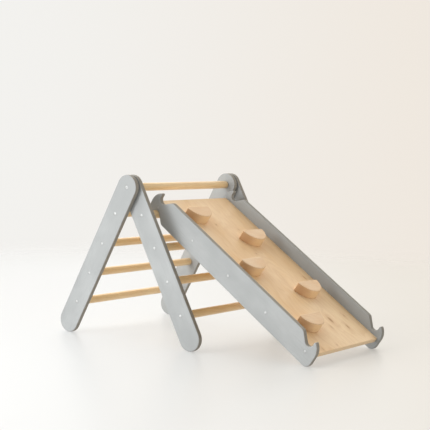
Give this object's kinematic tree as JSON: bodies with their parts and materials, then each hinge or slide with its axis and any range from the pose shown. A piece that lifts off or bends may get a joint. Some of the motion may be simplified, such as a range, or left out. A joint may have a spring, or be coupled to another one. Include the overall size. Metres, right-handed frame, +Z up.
{
  "type": "toddler climbing frame with slide ramp",
  "caption": "Folding wooden climbing frame of two lapped ladders with dowel rungs, and a hook-on reversible ramp with side rails and half-round climbing blocks.",
  "frame": {"origin": "on the floor, under the middle of the outline of the frame and ramp together", "axes": "+Z up, +X down the ramp and away from the ladders, Y along the rungs"},
  "size_m": [1.115, 0.6334, 0.6163],
  "materials": {
    "grey_paint": "satin light grey paint on birch plywood",
    "rung_wood": "oiled turned hardwood",
    "panel_wood": "clear matt oil on birch plywood",
    "block_wood": "clear matt oil on solid wood",
    "zinc_steel": "bright zinc plate",
    "brass": "turned",
    "nylon": "moulded"
  },
  "bodies": {
    "ramp_ladder": {"ramp_ladder_outer_leg": "grey_paint", "ramp_ladder_inner_leg": "grey_paint", "ramp_ladder_rung_1": "rung_wood", "ramp_ladder_rung_2": "rung_wood", "ramp_ladder_rung_3": "rung_wood", "ramp_ladder_rung_4": "rung_wood", "ramp_ladder_outer_screw_1": "zinc_steel", "ramp_ladder_outer_screw_2": "zinc_steel", "ramp_ladder_outer_screw_3": "zinc_steel", "ramp_ladder_outer_screw_4": "zinc_steel", "ramp_ladder_inner_screw_1": "zinc_steel", "ramp_ladder_inner_screw_2": "zinc_steel", "ramp_ladder_inner_screw_3": "zinc_steel", "ramp_ladder_inner_screw_4": "zinc_steel", "ramp_ladder_stop_pin": "zinc_steel", "top_rung": "rung_wood", "near_pivot_bolt": "zinc_steel", "near_pivot_spacer": "nylon", "near_threaded_insert": "brass", "far_pivot_bolt": "zinc_steel", "far_pivot_spacer": "nylon", "far_threaded_insert": "brass"},
    "back_ladder": {"back_ladder_outer_leg": "grey_paint", "back_ladder_inner_leg": "grey_paint", "back_ladder_rung_1": "rung_wood", "back_ladder_rung_2": "rung_wood", "back_ladder_rung_3": "rung_wood", "back_ladder_rung_4": "rung_wood", "back_ladder_outer_screw_1": "zinc_steel", "back_ladder_outer_screw_2": "zinc_steel", "back_ladder_outer_screw_3": "zinc_steel", "back_ladder_outer_screw_4": "zinc_steel", "back_ladder_inner_screw_1": "zinc_steel", "back_ladder_inner_screw_2": "zinc_steel", "back_ladder_inner_screw_3": "zinc_steel", "back_ladder_inner_screw_4": "zinc_steel", "back_ladder_stop_pin": "zinc_steel"},
    "ramp": {"ramp_near_side": "grey_paint", "ramp_far_side": "grey_paint", "ramp_panel": "panel_wood", "ramp_near_screw_1": "zinc_steel", "ramp_near_screw_2": "zinc_steel", "ramp_near_screw_3": "zinc_steel", "ramp_near_screw_4": "zinc_steel", "ramp_near_screw_5": "zinc_steel", "ramp_far_screw_1": "zinc_steel", "ramp_far_screw_2": "zinc_steel", "ramp_far_screw_3": "zinc_steel", "ramp_far_screw_4": "zinc_steel", "ramp_far_screw_5": "zinc_steel", "climbing_block_1": "block_wood", "climbing_block_2": "block_wood", "climbing_block_3": "block_wood", "climbing_block_4": "block_wood", "climbing_block_5": "block_wood", "block_screw_1": "zinc_steel", "block_screw_2": "zinc_steel", "block_screw_3": "zinc_steel", "block_screw_4": "zinc_steel", "block_screw_5": "zinc_steel"}
  },
  "joints": [
    {"name": "frame_fold", "type": "hinge", "parent": "ramp_ladder", "child": "back_ladder", "pos_m": [-0.21966, 0, 0.57026], "axis": [0, -1, 0], "range_deg": [0, 25]},
    {"name": "ramp_tilt", "type": "hinge", "parent": "ramp_ladder", "child": "ramp", "pos_m": [-0.16422, 0, 0.47065], "axis": [0, -1, 0], "range_deg": [0, 33.85]}
  ]
}
